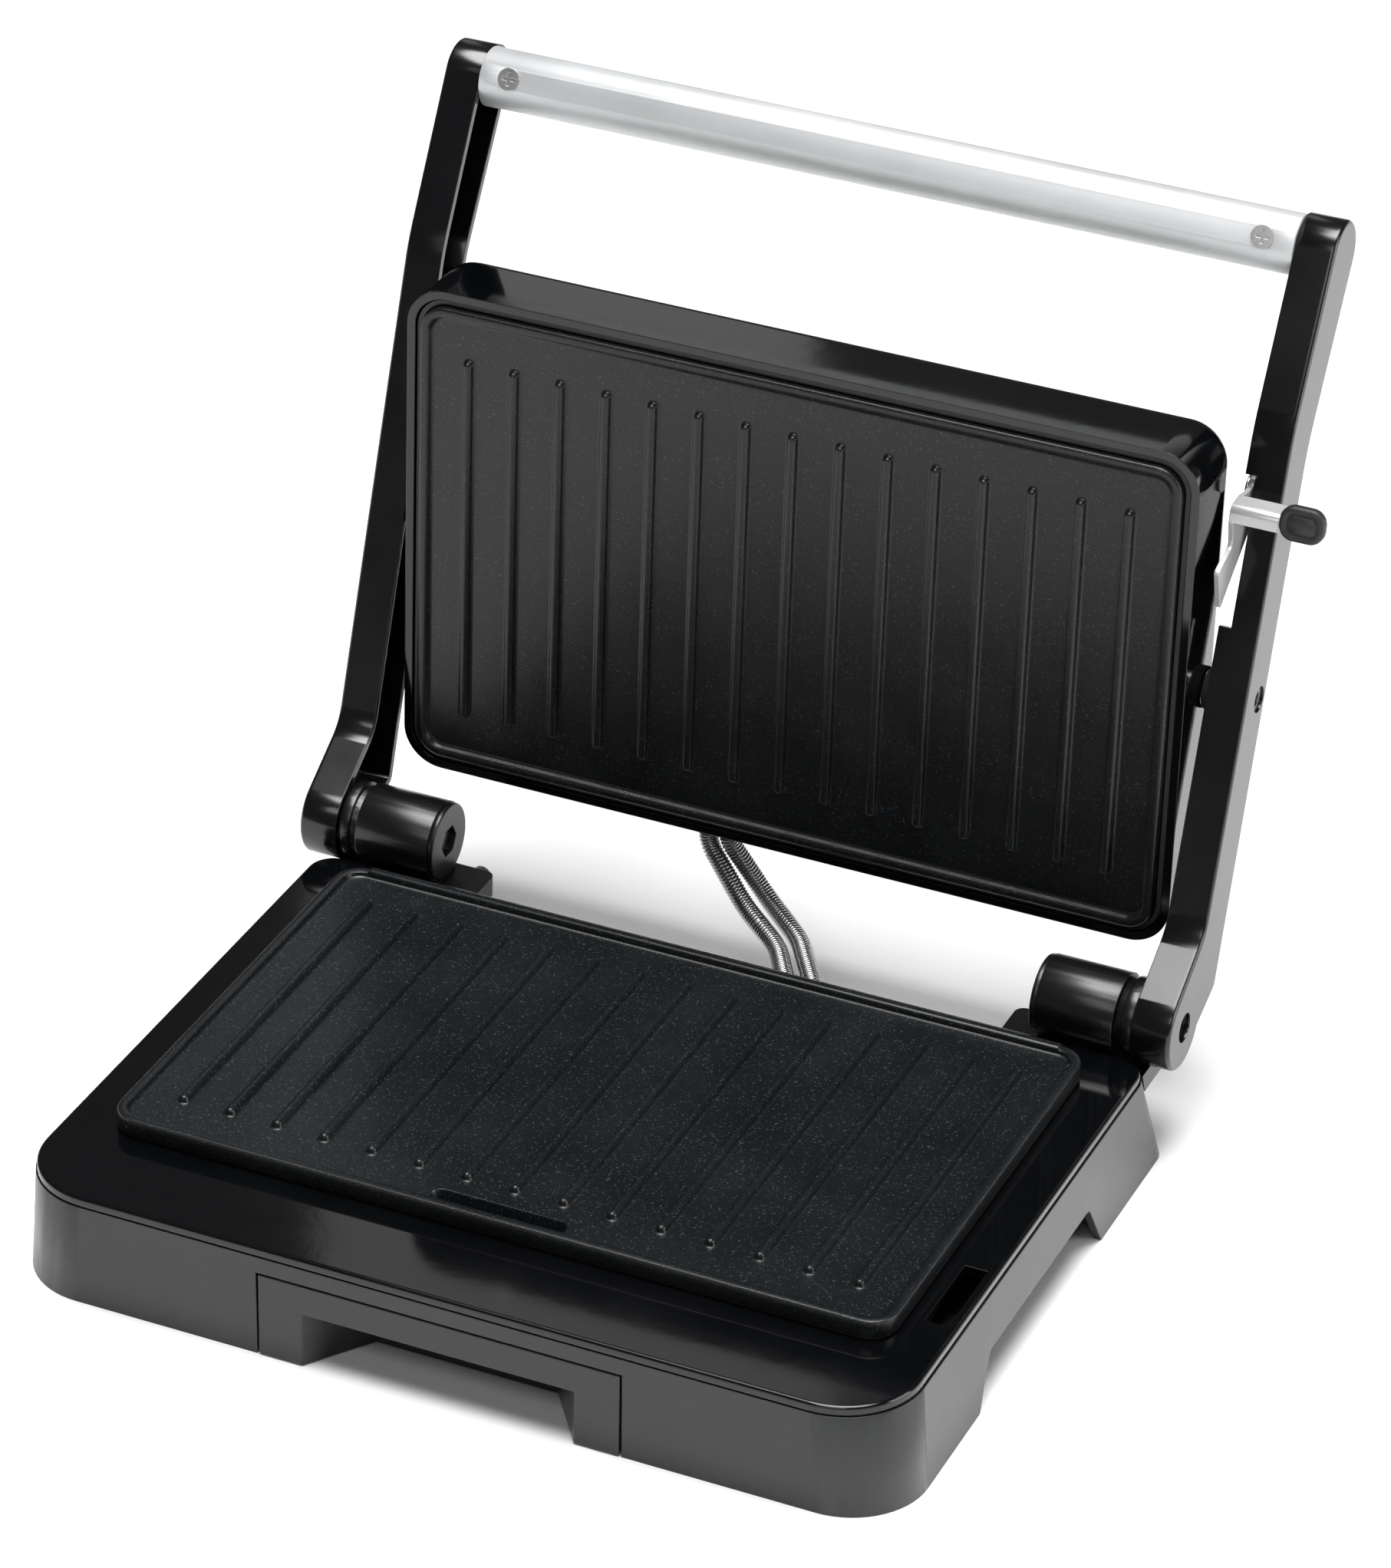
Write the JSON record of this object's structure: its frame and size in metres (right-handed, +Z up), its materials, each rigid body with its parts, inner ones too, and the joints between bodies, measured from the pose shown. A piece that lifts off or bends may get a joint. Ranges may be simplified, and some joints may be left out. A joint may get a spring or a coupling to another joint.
{
  "type": "panini press",
  "caption": "Contact grill with two ribbed plates, a floating lid on swing arms with a round handle bar, side latch and slide-out drip tray.",
  "frame": {"origin": "on the worktop under the middle of the arm hinge axis", "axes": "+Z up, +X to the cook's right along the hinge axis, -Y towards the cook"},
  "size_m": [0.2866, 0.3004, 0.2502],
  "materials": {
    "deck_black": "high gloss black lacquer",
    "housing_grey": "satin anthracite moulding",
    "grill_nonstick": "fine speckled non-stick coating",
    "arm_black": "satin black enamel",
    "hinge_black": "fine-grained black enamel",
    "handle_aluminium": "satin anodised",
    "steel_bright": "satin",
    "latch_steel": "satin zinc grey",
    "tab_black": "soft satin",
    "spring_steel": "dark wound wire",
    "rubber_black": "matte",
    "inner_plastic": "matte black",
    "sheet_metal": "bare sheet",
    "element_metal": "dull grey",
    "ceramic": "matte cream ceramic",
    "copper_pin": "turned steel"
  },
  "bodies": {
    "base": {"base_housing": "housing_grey", "base_deck": "deck_black", "bottom_cover": "inner_plastic", "lower_grill_plate": "grill_nonstick", "lower_heating_element": "element_metal", "lower_heat_reflector": "sheet_metal", "lower_thermostat": "ceramic", "lower_plate_screws": "copper_pin", "cover_screws": "copper_pin", "rubber_feet": "rubber_black", "terminal_block": "inner_plastic", "hinge_bracket_left": "hinge_black", "hinge_bracket_right": "hinge_black", "bracket_screws_left": "copper_pin", "bracket_screws_right": "copper_pin", "hinge_cap_left": "hinge_black", "hinge_cap_right": "hinge_black", "hinge_bolt_left": "copper_pin", "hinge_bolt_right": "copper_pin", "hinge_spring_left": "spring_steel", "hinge_spring_right": "spring_steel", "hinge_collar_left": "hinge_black", "hinge_collar_right": "hinge_black", "conduit_gland": "inner_plastic", "conduit_left": "spring_steel", "conduit_right": "spring_steel"},
    "drip_tray": {"drip_tray_pan": "sheet_metal", "drip_tray_front": "housing_grey"},
    "arms": {"arm_left": "arm_black", "arm_right": "arm_black", "handle_bar": "handle_aluminium", "handle_plug_left": "inner_plastic", "handle_plug_right": "inner_plastic", "handle_screws": "steel_bright", "pivot_pin_left": "copper_pin", "pivot_pin_right": "copper_pin", "pivot_spacer_left": "rubber_black", "pivot_spacer_right": "rubber_black", "latch_pin": "copper_pin"},
    "lid": {"lid_shell": "deck_black", "lid_bezel": "inner_plastic", "upper_grill_plate": "grill_nonstick", "upper_heating_element": "element_metal", "upper_heat_reflector": "sheet_metal", "upper_thermostat": "ceramic", "thermal_fuse": "ceramic", "upper_plate_screws": "copper_pin", "lid_pivot_bush_left": "rubber_black", "lid_pivot_bush_right": "rubber_black", "lid_conduit_bush": "inner_plastic"},
    "latch": {"latch_hook": "latch_steel", "latch_tab": "tab_black"}
  },
  "joints": [
    {"name": "arm_hinge", "type": "hinge", "parent": "base", "child": "arms", "pos_m": [0, 0, 0.042], "axis": [1, 0, 0], "range_deg": [0, 106.7], "deforming": ["conduit_left", "conduit_right"]},
    {"name": "lid_tilt", "type": "hinge", "parent": "arms", "child": "lid", "pos_m": [0, 0.04544, 0.124], "axis": [1, 0, 0], "range_deg": [-16, 0.5]},
    {"name": "latch_swing", "type": "hinge", "parent": "arms", "child": "latch", "pos_m": [0.125, 0.05901, 0.18188], "axis": [1, 0, 0], "range_deg": [-36, 30]},
    {"name": "tray_slide", "type": "slide", "parent": "base", "child": "drip_tray", "axis": [0, -1, 0], "range_m": [0, 0.095]}
  ],
  "couplings": [
    {"joint": "lid_tilt", "follows": "arm_hinge", "ratio": -0.14339}
  ]
}
